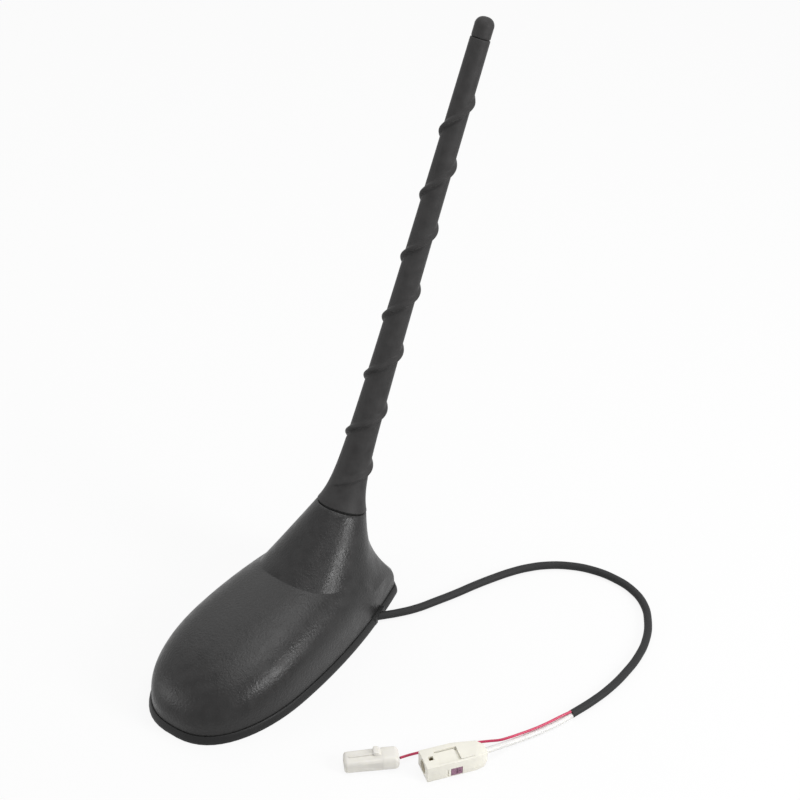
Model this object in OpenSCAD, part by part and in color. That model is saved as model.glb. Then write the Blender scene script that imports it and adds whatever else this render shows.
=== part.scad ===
// Roof-mounted car mast aerial: a moulded base with a raked pylon, a flexible
// screw-in mast with a helical ridge, and a sleeved lead with two connectors.
// Millimetres. +Z is up, +X points to the rear of the car, and the origin is
// the centre of the fixing thread on the underside of the seal.

/* [Base outline] */
// Distance from the fixing thread to the nose of the seal
base_nose = 74.2; // [72:0.1:77]
// Distance from the fixing thread to the tail of the seal
base_tail = 71.4; // [70:0.1:74]
// Half width of the seal at its widest station
base_half_w = 33.5; // [32:0.5:35.5]
// Distance of the widest station ahead of the fixing thread
wide_station = 23; // [20:0.5:26]
// Power of the nose curve along the length
nose_power = 2.58; // [2.3:0.02:2.9]
// Radius of the long side curve behind the widest station
side_r = 293; // [275:1:320]
// How much smaller the radius of the rounded tail end is than the half width
tail_less = 3.5; // [0.5:0.5:5]
// Radius of the corner between the side and the tail
corner_r = 5; // [4.8:0.1:6]

/* [Seal] */
// Height of the visible lip of the seal
lip_h = 4.3; // [4.1:0.1:4.5]
// Thickness of the lip of the seal
lip_t = 1.35; // [1.1:0.05:1.5]
// Thickness of the seal sheet under the plate
sheet_t = 1.5; // [1.2:0.1:1.8]

/* [Housing] */
// Groove between the seal's lip and the housing's skirt
skirt_gap = 0.15; // [0.1:0.05:0.25]
// Wall of the moulded housing
wall_t = 2.4; // [2:0.1:2.5]
// Height of the skirt's top, where the dome begins
skirt_top = 4.6; // [4.5:0.1:5]
// Rise of the dome above the skirt
dome_h = 34; // [33:0.1:35.5]
// Distance of the crown of the dome behind the fixing thread
crown_x = 24; // [20:0.2:26]
// Power of the dome's cross-section across the width
section_power_y = 2.25; // [2.1:0.05:2.6]
// Power of the dome's cross-section in height
section_power_z = 3.9; // [3.4:0.05:4.2]

/* [Pylon] */
// Rake of the mast from the vertical, towards the tail, in degrees
rake = 26.8; // [24:0.1:29]
// Distance of the seam's centre behind the fixing thread
seam_x = 47.2; // [45:0.1:49]
// Height of the seam's centre above the seal's underside
seam_z = 53.5; // [52:0.1:56]
// Radius of the pylon's top and of the mast's foot
seam_r = 12; // [11.6:0.1:12.4]
// Depth of solid plastic under the pylon's top
pylon_cap_t = 22; // [20:0.5:24]

/* [Mast] */
// Distance from the seam to the tip, along the mast
mast_len = 234.5; // [215:0.5:250]
// Length of the separate cap on the tip
cap_len = 9.8; // [8:0.1:11]
// Radius of the mast just under the cap
tip_r = 4.55; // [4.3:0.05:4.9]
// Height of the helical ridge above the surface
ridge_h = 1.4; // [1:0.05:1.6]
// Radius of the rounded bead that forms the ridge
ridge_bead_r = 1.9; // [1.7:0.05:2.1]
// Distance from the seam to the ridge's first full pass
ridge_start = 21.7; // [20:0.1:24]
// Direction of that pass around the mast, from the tail side, in degrees
ridge_phase = -59; // [-180:1:180]
// Distance from the ridge's end to the cap
ridge_tip_gap = 22.7; // [18:0.1:30]
// Growth of the pitch for each turn
ridge_growth = 0.48; // [0:0.02:0.5]
// Number of turns of the ridge
ridge_turns = 6.6; // [5.6:0.1:6.8]

/* [Mast fixing] */
// Radius of the threaded stud
stud_r = 2.5; // [2:0.05:3]
// Length of the stud below the seam
stud_len = 8.8; // [8.4:0.1:9.4]
// Radial clearance of the stud in its socket
stud_clear = 0.05; // [0.02:0.01:0.1]
// Radius of the socket insert
socket_r = 6; // [5.4:0.1:6.6]
// Length of the socket insert
socket_len = 11; // [10.6:0.1:12]
// Thickness of the sealing ring in the seam
ring_t = 0.8; // [0.6:0.05:1.2]
// Outer radius of the sealing ring
ring_r = 11; // [10:0.1:11.4]
// Radius of the ferrule's flange in the mast's foot
flange_r = 7.5; // [7:0.1:8.5]
// Thickness of the ferrule's flange
flange_t = 2.8; // [2:0.1:3.4]
// Radius of the ferrule's barrel
barrel_r = 4.2; // [3.8:0.1:4.8]
// Height of the ferrule's top above the seam
barrel_top = 22; // [18:0.5:26]
// Radius of the glass-fibre core
core_r = 1.95; // [1.6:0.05:2.1]
// Wall of the wound radiator on the core
winding_t = 0.6; // [0.4:0.05:0.7]

/* [Base plate] */
// Thickness of the die-cast plate
plate_t = 2.8; // [2.4:0.1:3.2]
// Radius of the fixing boss
boss_r = 8; // [7:0.1:9]
// Height of the fixing boss above the seal's underside
boss_h = 8.6; // [8:0.1:8.8]
// Radius of the fixing thread's wall
fix_r = 3.4; // [2.5:0.05:4.2]
// Depth of the fixing thread
fix_depth = 7.2; // [6:0.1:7.4]
// Radius of the shank of a cover screw
cover_screw_r = 1.45; // [1.2:0.05:1.7]
// Length of a cover screw from its head's face
cover_screw_len = 12; // [9:0.5:14]
// Radius of a screw boss in the housing
cover_boss_r = 3.4; // [3.2:0.1:3.6]

/* [Circuit board] */
// Length of the circuit board
board_len = 80; // [74:1:82]
// Width of the circuit board
board_w = 31; // [28:0.5:32]
// Thickness of the circuit board
board_t = 1.6; // [1:0.1:2]
// Height of the board's underside above the seal's underside
board_z = 9.2; // [9:0.1:10]
// Radius of the shank of a board screw
board_screw_r = 1.2; // [1:0.05:1.3]
// Height of the screening can
can_h = 5.5; // [4:0.5:7]

/* [Cable] */
// Diameter of the black cable sleeve
sleeve_d = 3.8; // [3.6:0.1:4]
// Diameter of the coaxial lead
coax_d = 2.8; // [2.5:0.1:3]
// Diameter of the power lead
power_d = 1.2; // [1:0.05:1.4]
// Width of the grommet in the housing's wall
grommet_w = 7.4; // [6.8:0.1:8]

/* [Coaxial connector] */
// Length of the coaxial connector's housing
conn_len = 29; // [27:0.5:31]
// Width of the coaxial connector's housing
conn_w = 12; // [11.4:0.1:13]
// Height of the coaxial connector's housing
conn_h = 8.2; // [8:0.1:9]
// Radius of the connector's mating bore
conn_bore_r = 3.1; // [2.9:0.05:3.2]
// Depth of the connector's mating bore
conn_bore_depth = 9.5; // [8:0.1:10]
// Depth of the latch recess in the connector's top
latch_depth = 0.9; // [0.6:0.05:0.95]

/* [Power plug] */
// Length of the power plug's housing
plug_len = 23.5; // [22:0.5:25]
// Width of the power plug's housing
plug_w = 8; // [7.6:0.1:8.6]
// Height of the power plug's front part
plug_h = 5.4; // [5.2:0.1:6]

/* [Hidden] */
eps = 0.01;
over = 1;
fine = 96;

// Outline of the base
skirt_in = lip_t + skirt_gap;
cavity_in = skirt_in + wall_t;
plate_clear = 0.5;
plate_in = cavity_in + plate_clear;
side_cy = base_half_w - side_r;
tail_r = base_half_w - tail_less;
tail_cx = base_tail - tail_r;
// Centre of the tail corner: a fixed distance inside both arcs
side_q = side_r - corner_r;
tail_q = tail_r - corner_r;
centre_dx = tail_cx + wide_station;
centre_dist = sqrt(centre_dx * centre_dx + side_cy * side_cy);
centre_a = (side_q * side_q - tail_q * tail_q + centre_dist * centre_dist) / (2 * centre_dist);
centre_h = sqrt(side_q * side_q - centre_a * centre_a);
corner_x = -wide_station + (centre_a * centre_dx - centre_h * side_cy) / centre_dist;
corner_y = side_cy - (centre_a * side_cy + centre_h * centre_dx) / centre_dist;
side_end_a = atan2(corner_y - side_cy, corner_x + wide_station);
tail_start_a = atan2(corner_y, corner_x - tail_cx);

// Stations along the base at an inset from the seal's outline
function nose_x(inset, a) = -wide_station - (base_nose - wide_station - inset) * cos(a);
function side_end_x(inset) = corner_x + (corner_r - inset) * cos(side_end_a);
function corner_end_x(inset) = corner_x + (corner_r - inset) * cos(tail_start_a);
function half_width(x, inset) =
    x <= -wide_station ? (base_half_w - inset)
        * pow(1 - pow(min(1, (-wide_station - x) / (base_nose - wide_station - inset)), 2), 1 / nose_power)
    : x <= side_end_x(inset) ? side_cy + sqrt(pow(side_r - inset, 2) - pow(x + wide_station, 2))
    : x <= corner_end_x(inset) ? corner_y + sqrt(max(0, pow(corner_r - inset, 2) - pow(x - corner_x, 2)))
    : sqrt(max(0, pow(tail_r - inset, 2) - pow(x - tail_cx, 2)));
function stations(inset, n) = concat(
    [for (i = [0:n]) nose_x(inset, 3 + 87 * i / n)],
    [for (i = [1:n]) -wide_station + (side_end_x(inset) + wide_station) * i / n],
    [for (i = [1:3]) corner_x + (corner_r - inset) * cos(side_end_a + (tail_start_a - side_end_a) * i / 3)],
    [for (i = [1:4]) tail_cx + (tail_r - inset) * cos(tail_start_a * (1 - i / 4.2))]);
function outline(inset, n) = let (xs = stations(inset, n)) concat(
    [for (x = xs) [x, -half_width(x, inset)]],
    [for (i = [len(xs) - 1:-1:0]) [xs[i], half_width(xs[i], inset)]]);

function reversed(list) = [for (i = [len(list) - 1:-1:0]) list[i]];

// Height of the dome above the skirt on the centre line
crown_nose_power = 1.6;
crown_nose_root = 2.8;
crown_tail_power = 2.71;
function crown_rise(x, inset, h) = x < crown_x
    ? h * pow(1 - pow(min(1, (crown_x - x) / (crown_x + base_nose - inset)), crown_nose_power),
        1 / crown_nose_root)
    : h * (1 - pow(min(1, (x - crown_x) / (base_tail - inset - crown_x)), crown_tail_power));
function signed_pow(v, p) = sign(v) * pow(abs(v), p);
function dome_z(x, y, inset, h) =
    let (across = min(1, abs(y) / max(0.1, half_width(x, inset))))
    skirt_top + crown_rise(x, inset, h) * pow(1 - pow(across, section_power_y), 1 / section_power_z);

// Closed solid through rings with the same number of points
module loft(rings) {
    n = len(rings[0]);
    m = len(rings);
    points = [for (r = rings) for (p = r) p];
    sides = [for (i = [0:m - 2]) for (j = [0:n - 1])
        [i * n + j, (i + 1) * n + j, (i + 1) * n + (j + 1) % n, i * n + (j + 1) % n]];
    ends = [[for (j = [0:n - 1]) j], [for (j = [n - 1:-1:0]) (m - 1) * n + j]];
    polyhedron(points, concat(sides, ends), convexity = 8);
}

// Pylon: slices from the seam down to the dome, between a front and a rear line
mast_dir = [sin(rake), 0, cos(rake)];
front_dir = [-cos(rake), 0, sin(rake)];
seam_centre = [seam_x, 0, seam_z];
front_slope = 0.521;
front_curve = 0.0021;
rear_slope = 0.18;
rear_curve = 0.0108;
side_slope = 0.3067;
rear_share = 0.6656;
pylon_square = 0.0152;
function pylon_front(s) = seam_centre - s * mast_dir
    + (seam_r + front_slope * s + front_curve * s * s) * front_dir;
function pylon_rear(s) = seam_centre - s * mast_dir
    - (seam_r + rear_slope * s + rear_curve * s * s) * front_dir;
function pylon_point(s, a, inset) =
    let (f = pylon_front(s), r = pylon_rear(rear_share * s), along = (f - r) / 2,
        w = seam_r + side_slope * s - inset, p = 2 / (2 + pylon_square * s))
    (f + r) / 2 + along * (1 - inset / norm(along)) * signed_pow(cos(a), p) + [0, w * signed_pow(sin(a), p), 0];

// Where the pylon's line at angle a meets the dome, found by halving
root_steps = 16;
root_limit = 52;
function above_dome(p, inset, h) = p[2] > dome_z(p[0], p[1], inset, h);
function root_s(a, inset, h, dome_inset, low = 0, high = root_limit, k = root_steps) = let (m = (low + high) / 2)
    k == 0 ? m
    : above_dome(pylon_point(m, a, inset), dome_inset, h) ? root_s(a, inset, h, dome_inset, m, high, k - 1)
    : root_s(a, inset, h, dome_inset, low, m, k - 1);

// Rings of the housing's surface, from the seam down over the dome to the skirt
root_ahead = 18;
root_centre = seam_x - root_ahead;
outline_n = 7;
function around_angle(p) = atan2(p[1] / base_half_w,
    (root_centre - p[0]) / (p[0] < root_centre ? root_centre + base_nose : base_tail - root_centre));
function dome_point(root, rim, t, inset, h) =
    let (x = root[0] + (rim[0] - root[0]) * t, y = root[1] + (rim[1] - root[1]) * t)
    [x, y, dome_z(x, y, inset, h)];
function spread(k, m) = 1 - pow(1 - k / m, 1.8);

// Fillet at the pylon's root: small in front and at the sides, wide at the tail
fillet_near = 1.2;
fillet_up = 17;
fillet_out = 12;
fillet_limit = 0.9;
function tail_share(a) = max(0, -cos(a));
function blend(a, b, c, u) = (1 - u) * (1 - u) * a + 2 * u * (1 - u) * b + u * u * c;
module shell_of_housing() {
    rim = reversed(outline(skirt_in, outline_n));
    inner_rim = reversed(outline(cavity_in, outline_n));
    inner_h = dome_h - wall_t;
    inner_wall = wall_t + 0.4;
    angles = [for (p = rim) around_angle(p)];
    depth = [for (a = angles) root_s(a, 0, dome_h, skirt_in)];
    inner_depth = [for (a = angles) root_s(a, inner_wall, inner_h, cavity_in)];
    root = [for (j = [0:len(rim) - 1]) pylon_point(depth[j], angles[j], 0)];
    inner_root = [for (j = [0:len(rim) - 1]) pylon_point(inner_depth[j], angles[j], inner_wall)];
    last = len(rim) - 1;
    start = [for (j = [0:last]) depth[j] - fillet_near - fillet_up * tail_share(angles[j])];
    end = [for (j = [0:last]) min(fillet_limit, (fillet_near + fillet_out * tail_share(angles[j]))
        / norm([rim[j][0] - root[j][0], rim[j][1] - root[j][1]]))];
    above = [for (j = [0:last]) pylon_point(start[j], angles[j], 0)];
    below = [for (j = [0:last]) dome_point(root[j], rim[j], end[j], skirt_in, dome_h)];
    loft(concat(
        [for (q = [0, 0.25, 0.5, 0.75]) [for (j = [0:last]) pylon_point(q * start[j], angles[j], 0)]],
        [for (u = [0, 0.25, 0.5, 0.75, 1]) [for (j = [0:last]) blend(above[j], root[j], below[j], u)]],
        [for (k = [1:7]) [for (j = [0:last])
            dome_point(root[j], rim[j], end[j] + (1 - end[j]) * spread(k, 8), skirt_in, dome_h)]],
        [for (z = [skirt_top, sheet_t]) [for (p = rim) [p[0], p[1], z]]],
        [for (z = [sheet_t, skirt_top]) [for (p = inner_rim) [p[0], p[1], z]]],
        [for (k = [4:-1:0]) [for (j = [0:last])
            dome_point(inner_root[j], inner_rim[j], spread(k, 5), cavity_in, inner_h)]],
        [[for (j = [0:last]) pylon_point(pylon_cap_t, angles[j], inner_wall)]]));
}

module mast_frame() {
    translate(seam_centre) rotate([0, rake, 0]) children();
}

module on_mast(z0, z1, r) {
    mast_frame() translate([0, 0, z0]) cylinder(h = z1 - z0, r = r, $fn = fine);
}

// Cable exit: position on the seal's outline and heading of the grommet
exit_x = 43.4;
exit_y = -half_width(exit_x, 0);
exit_heading = -36.87;
grommet_in = 9;
grommet_h = lip_h;
notch_clear = 0.05;
slot_clear = 0.1;
slot_out = 6;
module exit_frame() {
    translate([exit_x, exit_y, 0]) rotate([0, 0, exit_heading]) children();
}

module exit_block(x0, x1, w, z0, z1) {
    exit_frame() translate([x0, -w / 2, z0]) cube([x1 - x0, w, z1 - z0]);
}

module exit_slot(z0, z1) {
    exit_block(-grommet_in - slot_clear, slot_out, grommet_w + 2 * slot_clear, z0, z1);
}

// Bore for the contact strip, under the ledge that the socket insert sits on
socket_seat = 1.2;
contact_bore_over = 2;

// Screws
screw_nose_in = 20;
screw_tail_in = 15;
screw_side_in = 11;
screw_side_x = 2;
cover_screws_at = [[screw_nose_in - base_nose, 0], [screw_side_x, base_half_w - screw_side_in],
    [screw_side_x, screw_side_in - base_half_w], [base_tail - screw_tail_in, 0]];
// Top of a screw boss: just under the lowest part of the dome above it
boss_skin = 1;
function boss_top(p) = min([for (a = [0:30:330])
    dome_z(p[0] + cover_boss_r * cos(a), p[1] + cover_boss_r * sin(a), skirt_in, dome_h)]) - boss_skin;
head_r = 2.9;
head_h = 1.5;
cover_hole_r = cover_screw_r + 0.25;
pilot_r = cover_screw_r + 0.05;
board_x0 = -44;
board_hole_in = 5;
board_holes_y = board_w / 2 - 4;
board_screw_len = 5.5;
board_head_r = 2.3;
board_head_h = 1.7;
standoff_r = 3;
boss_clear = 0.3;
plate_top = sheet_t + plate_t;
board_top = board_z + board_t;
function board_screws_at() = [for (x = [board_x0 + board_hole_in, board_x0 + board_len - board_hole_in])
    for (y = [-board_holes_y, board_holes_y]) [x, y]];

module housing() {
    pilot_depth = cover_screw_len - plate_t + 1.5;
    color([0.19, 0.19, 0.2]) difference() {
        union() {
            shell_of_housing();
            for (p = cover_screws_at)
                translate([p[0], p[1], plate_top])
                    cylinder(h = boss_top(p) - plate_top, r = cover_boss_r, $fn = fine);
        }
        for (p = cover_screws_at)
            translate([p[0], p[1], plate_top - over]) cylinder(h = pilot_depth + over, r = pilot_r, $fn = fine);
        on_mast(-socket_len, over, socket_r);
        on_mast(-pylon_cap_t - contact_bore_over, -socket_len + eps, socket_r - socket_seat);
        exit_slot(sheet_t - over, grommet_h + slot_clear);
    }
}

module base_seal() {
    color([0.12, 0.12, 0.13]) difference() {
        linear_extrude(lip_h) polygon(outline(0, 16));
        translate([0, 0, sheet_t]) linear_extrude(lip_h) polygon(outline(lip_t, 16));
        translate([0, 0, -over]) cylinder(h = sheet_t + 2 * over, r = boss_r + boss_clear, $fn = fine);
        exit_slot(-over, lip_h + over);
    }
}

module base_plate() {
    color([0.62, 0.63, 0.65]) difference() {
        union() {
            translate([0, 0, sheet_t]) linear_extrude(plate_t) polygon(outline(plate_in, 12));
            cylinder(h = boss_h, r = boss_r, $fn = fine);
            for (p = board_screws_at())
                translate([p[0], p[1], plate_top - eps])
                    cylinder(h = board_z - plate_top + eps, r = standoff_r, $fn = fine);
        }
        translate([0, 0, -over]) cylinder(h = fix_depth + over, r = fix_r, $fn = fine);
        for (p = cover_screws_at) translate([p[0], p[1], sheet_t]) {
            translate([0, 0, -over]) cylinder(h = plate_t + 2 * over, r = cover_hole_r, $fn = fine);
            translate([0, 0, -eps]) cylinder(h = head_h + eps, r1 = head_r + 0.1, r2 = cover_hole_r, $fn = fine);
        }
        for (p = board_screws_at())
            translate([p[0], p[1], board_z - board_screw_len + board_t])
                cylinder(h = board_screw_len, r = board_screw_r + 0.05, $fn = fine);
        exit_slot(sheet_t - over, plate_top + over);
    }
}

module cover_screws() {
    color([0.75, 0.75, 0.77]) for (p = cover_screws_at) translate([p[0], p[1], sheet_t]) {
        cylinder(h = head_h, r1 = head_r, r2 = cover_screw_r, $fn = fine);
        cylinder(h = cover_screw_len, r = cover_screw_r, $fn = fine);
    }
}

module circuit_board() {
    color([0.1, 0.35, 0.2]) difference() {
        translate([board_x0, -board_w / 2, board_z]) cube([board_len, board_w, board_t]);
        for (p = board_screws_at())
            translate([p[0], p[1], board_z - over])
                cylinder(h = board_t + 2 * over, r = board_screw_r + 0.2, $fn = fine);
    }
}

module board_screws() {
    color([0.75, 0.75, 0.77]) for (p = board_screws_at()) translate([p[0], p[1], board_top]) {
        cylinder(h = board_head_h, r = board_head_r, $fn = fine);
        translate([0, 0, 0.3 - board_screw_len]) cylinder(h = board_screw_len, r = board_screw_r, $fn = fine);
    }
}

can_at = [-31, -10];
can_size = [26, 20];
can_t = 0.5;
module screening_can() {
    color([0.8, 0.8, 0.82]) translate([can_at[0], can_at[1], board_top]) difference() {
        cube([can_size[0], can_size[1], can_h]);
        translate([can_t, can_t, -over])
            cube([can_size[0] - 2 * can_t, can_size[1] - 2 * can_t, can_h - can_t + over]);
    }
}

filter_size = [8, 6, 2.2];
module signal_filter() {
    color([0.85, 0.82, 0.72]) translate([2, -3, board_top]) cube(filter_size);
}

capacitor_r = 2.5;
capacitor_h = 5.4;
capacitor_x = 8;
capacitor_y = 8;
module board_capacitors() {
    color([0.3, 0.32, 0.4]) for (y = [-capacitor_y, capacitor_y])
        translate([capacitor_x, y, board_top]) cylinder(h = capacitor_h, r = capacitor_r, $fn = fine);
}

socket_bore = stud_len + 0.6;
module mast_socket() {
    color([0.78, 0.63, 0.3]) difference() {
        on_mast(-socket_len, 0, socket_r - 0.02);
        on_mast(-socket_bore, over, stud_r + stud_clear);
    }
}

// Spring strip from the socket's underside down to the board
strip_t = 0.5;
strip_w = 5;
strip_under = socket_len + strip_t / 2;
strip_drop = 29;
function on_rake(d, x) = [seam_x - d * sin(rake) + x * cos(rake), seam_z - d * cos(rake) - x * sin(rake)];
strip_line = [on_rake(strip_under, -3), on_rake(strip_under, 2), on_rake(strip_drop, 0),
    [28, board_top + 5], [24, board_top + strip_t / 2], [18, board_top + strip_t / 2]];
function line_normal(a, b) = let (d = b - a) [-d[1], d[0]] / norm(d);
function line_offset(line, i, t) =
    let (n = len(line), a = line_normal(line[max(0, i - 1)], line[max(1, i)]),
        b = line_normal(line[min(n - 2, i)], line[min(n - 1, i + 1)]), m = (a + b) / norm(a + b))
    line[i] + m * t / (m * b);
module socket_contact() {
    color([0.8, 0.55, 0.3]) translate([0, strip_w / 2, 0]) rotate([90, 0, 0]) linear_extrude(strip_w)
        polygon(concat([for (i = [0:len(strip_line) - 1]) line_offset(strip_line, i, strip_t / 2)],
            [for (i = [len(strip_line) - 1:-1:0]) line_offset(strip_line, i, -strip_t / 2)]));
}

module seam_ring() {
    color([0.03, 0.03, 0.03]) difference() {
        on_mast(0, ring_t, ring_r);
        on_mast(-over, ring_t + over, socket_r + 0.5);
    }
}

rod_seat = 9;
rod_top = mast_len - cap_len - 2.6;
cap_base = mast_len - cap_len + 0.2;
cap_round = 4.2;
winding_from = barrel_top + 1.5;
winding_r = core_r + winding_t;
module mast_stud() {
    color([0.78, 0.63, 0.3]) mast_frame() rotate_extrude($fn = fine)
        polygon([[0, -stud_len], [stud_r - 0.7, -stud_len], [stud_r, -stud_len + 0.7], [stud_r, ring_t],
            [flange_r, ring_t], [flange_r, ring_t + flange_t], [barrel_r, ring_t + flange_t],
            [barrel_r, barrel_top], [core_r + 0.05, barrel_top], [core_r + 0.05, rod_seat], [0, rod_seat]]);
}

module mast_core() {
    color([0.85, 0.84, 0.76]) on_mast(rod_seat, rod_top, core_r);
}

module mast_winding() {
    color([0.75, 0.42, 0.24]) difference() {
        on_mast(winding_from, rod_top - 6, winding_r);
        on_mast(winding_from - over, rod_top, core_r + eps);
    }
}

// Outside of the mast: a quick flare at the foot, then a slow taper to the tip
flare_depth = 4.05;
flare_len = 9;
taper_depth = 2.6;
taper_len = 70;
function mast_r(z) = tip_r + (seam_r - tip_r - flare_depth - taper_depth) * (1 - z / mast_len)
    + flare_depth * exp(-(z - ring_t) / flare_len) + taper_depth * exp(-z / taper_len);
mast_levels = [ring_t, 2, 4, 6.5, 10, 14, 19, 26, 36, 50, 68, 92, 125, 170, mast_len - cap_len];
ridge_steps = 15;
ridge_sides = 7;
ridge_first = -0.42;
ridge_fade = 0.2;
ridge_last = ridge_first + ridge_turns;
ridge_end = mast_len - cap_len - ridge_tip_gap;
ridge_pitch = (ridge_end - ridge_start - ridge_growth / 2 * ridge_last * ridge_last) / ridge_last;
function ridge_z(n) = ridge_start + ridge_pitch * n + ridge_growth / 2 * n * n;
function ridge_ring(k) =
    let (n = ridge_first + k / ridge_steps, z = ridge_z(n),
        ends = min(1, 0.1 + (n - ridge_first) / ridge_fade, 0.1 + (ridge_last - n) / ridge_fade),
        r = mast_r(z) + ridge_h * ends - ridge_bead_r, turn = 360 * n + ridge_phase)
    [for (i = [0:ridge_sides - 1]) let (b = 360 * i / ridge_sides, rr = r + ridge_bead_r * cos(b))
        [rr * cos(turn), rr * sin(turn), z - ridge_bead_r * sin(b)]];
module mast_sleeve() {
    color([0.17, 0.17, 0.18]) difference() {
        mast_frame() union() {
            rotate_extrude($fn = fine)
                polygon(concat([[0, ring_t]], [for (z = mast_levels) [mast_r(z), z]], [[0, mast_len - cap_len]]));
            loft([for (k = [0:floor(ridge_turns * ridge_steps)]) ridge_ring(k)]);
        }
        on_mast(ring_t - over, ring_t + flange_t + 0.02, flange_r + 0.03);
        on_mast(ring_t, barrel_top + 0.2, barrel_r + 0.03);
        on_mast(ring_t, mast_len, winding_r + 0.03);
    }
}

module mast_tip_cap() {
    spigot_r = winding_r - 0.1;
    color([0.15, 0.15, 0.16]) mast_frame() rotate_extrude($fn = fine)
        polygon(concat([[0, rod_top + 0.1], [spigot_r, rod_top + 0.1], [spigot_r, cap_base],
            [mast_r(cap_base) - 0.1, cap_base]],
            [for (a = [0:15:75]) [(tip_r - 0.1) * pow(cos(a), 0.8), mast_len - cap_round + cap_round * sin(a)]],
            [[0, mast_len]]));
}

// The grommet's face follows the seal, and the sleeve lies in a notch under it
module cable_grommet() {
    notch_r = sleeve_d / 2 / cos(22.5) + notch_clear;
    color([0.1, 0.1, 0.11]) difference() {
        intersection() {
            exit_block(-grommet_in, slot_out, grommet_w, 0, grommet_h);
            linear_extrude(grommet_h) polygon(outline(0, 16));
        }
        exit_block(-sleeve_in - over, slot_out, 2 * notch_r, -over, sleeve_d / 2);
        exit_frame() translate([-sleeve_in - over, 0, sleeve_d / 2]) rotate([0, 90, 0])
            cylinder(h = slot_out + sleeve_in + over, r = notch_r, $fn = fine);
    }
}

// Routes of the cable, lying on the surface that the base stands on
sleeve_in = 3;
function on_exit(d) = [exit_x + d * cos(exit_heading), exit_y + d * sin(exit_heading)];
sleeve_route = [on_exit(-sleeve_in), on_exit(0), [50, -31], [58, -36], [68, -40.3], [78, -44.3], [88, -47.8],
    [98, -51.8], [107, -56], [114, -60.3], [121, -66.3], [127.5, -75], [132, -86], [133.4, -98],
    [131.8, -109], [126.8, -118.8], [118, -127], [107, -133.2], [95, -136.7], [83, -138.1],
    [70, -138.2], [57.5, -136.7], [45, -134]];
coax_route = [[45, -134.2, 1.4], [38.6, -132.6, 1.4], [33, -130.8, 1.4], [28, -128.9, 1.4],
    [23, -126.8, 1.4], [18, -124.6, 1.5], [12, -122.3, 2.2], [6, -120.6, 3.6], [0.9, -118.5, 4.1]];
power_route = [[45, -133.7, 3.4], [40, -132, 3.5], [34, -130.1, 3.5], [29, -128.3, 3.5],
    [24, -126.2, 3.5], [19.3, -124, 3.6], [15, -121.8, 3.6], [11.2, -119, 3.1], [8.8, -115.6, 2.3],
    [6.4, -112.2, 1.5], [4, -109.4, 0.9], [0, -106, 0.7], [-4, -102.8, 0.7], [-9, -98.9, 0.7],
    [-14.7, -94.7, 0.9], [-19.5, -92.5, 1.8], [-24.3, -90.8, 2.7]];

function unit(v) = v / norm(v);
function tangent(route, i) = unit(route[min(len(route) - 1, i + 1)] - route[max(0, i - 1)]);
function tube_ring(c, t, r) = let (side = unit(cross([0, 0, 1], t)), up = cross(t, side))
    [for (a = [22.5:45:337.5]) c + r / cos(22.5) * (side * cos(a) + up * sin(a))];
module tube(route, d) {
    loft([for (i = [0:len(route) - 1]) tube_ring(route[i], tangent(route, i), d / 2)]);
}

module cable_sleeve() {
    color([0.13, 0.13, 0.14]) tube([for (p = sleeve_route) [p[0], p[1], sleeve_d / 2]], sleeve_d);
}

module coax_lead() {
    color([0.9, 0.9, 0.88]) tube(coax_route, coax_d);
}

module power_lead() {
    color([0.75, 0.18, 0.32]) tube(power_route, power_d);
}

// Coaxial connector, lying on its side: local x runs from its mouth to its rear
conn_at = [-23.4, -102.7];
conn_heading = -33;
conn_axis_z = conn_h / 2;
module conn_frame() {
    translate([conn_at[0], conn_at[1], 0]) rotate([0, 0, conn_heading]) children();
}

module conn_bore(x0, x1, r) {
    conn_frame() translate([x0, 0, conn_axis_z]) rotate([0, 90, 0]) cylinder(h = x1 - x0, r = r, $fn = fine);
}

shell_r = 2.2;
lock_size = [5.2, 3, 3.9];
lock_x = 11.1;
lock_z = 0.6;
lock_clear = 0.15;
flank_len = 14;
latch_x = 5.9;
latch_len = 10.4;
latch_y = -5;
latch_w = 8;
step_len = 1.2;
module coax_connector_housing() {
    color([0.93, 0.91, 0.85]) difference() {
        conn_frame() intersection() {
            linear_extrude(conn_h) polygon([[0, -conn_w / 2], [conn_len - 6, -conn_w / 2],
                [conn_len - 2, -conn_w / 2 + 1.2], [conn_len, -conn_w / 2 + 2.6], [conn_len, conn_w / 2 - 3],
                [conn_len - 2.5, conn_w / 2 - 1.8], [conn_len - flank_len, conn_w / 2], [0, conn_w / 2]]);
            translate([0, conn_w / 2, 0]) rotate([90, 0, 0]) linear_extrude(conn_w)
                polygon([[0, 0], [conn_len - 5.5, 0], [conn_len - 2, 1], [conn_len, 1.6],
                    [conn_len, conn_h - 1.6], [conn_len - 3, conn_h], [0, conn_h]]);
        }
        conn_bore(-over, conn_bore_depth, conn_bore_r);
        conn_bore(0, conn_len + over, shell_r + 0.1);
        conn_frame() {
            translate([latch_x, latch_y, conn_h - latch_depth]) cube([latch_len, latch_w, latch_depth + over]);
            translate([latch_x + latch_len - 2 * step_len, latch_y, conn_h - latch_depth - 0.6])
                cube([step_len, latch_w - 1, latch_depth + over]);
            translate([2.4, -1.5, conn_h - 0.7]) cube([2.4, 2.5, over]);
            translate([lock_x - lock_clear, -conn_w / 2 - over, lock_z - lock_clear])
                cube([lock_size[0] + 2 * lock_clear, lock_size[1] + lock_clear + over,
                    lock_size[2] + 2 * lock_clear]);
        }
    }
}

module contact_lock() {
    color([0.5, 0.2, 0.38]) conn_frame()
        translate([lock_x, -conn_w / 2, lock_z]) cube(lock_size);
}

barrel_from = 1.5;
barrel_to = 21;
module coax_contact_barrel() {
    color([0.82, 0.72, 0.42]) difference() {
        conn_bore(barrel_from, barrel_to, shell_r);
        conn_bore(barrel_from - over, barrel_to + over, shell_r - 0.5);
    }
}

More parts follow.
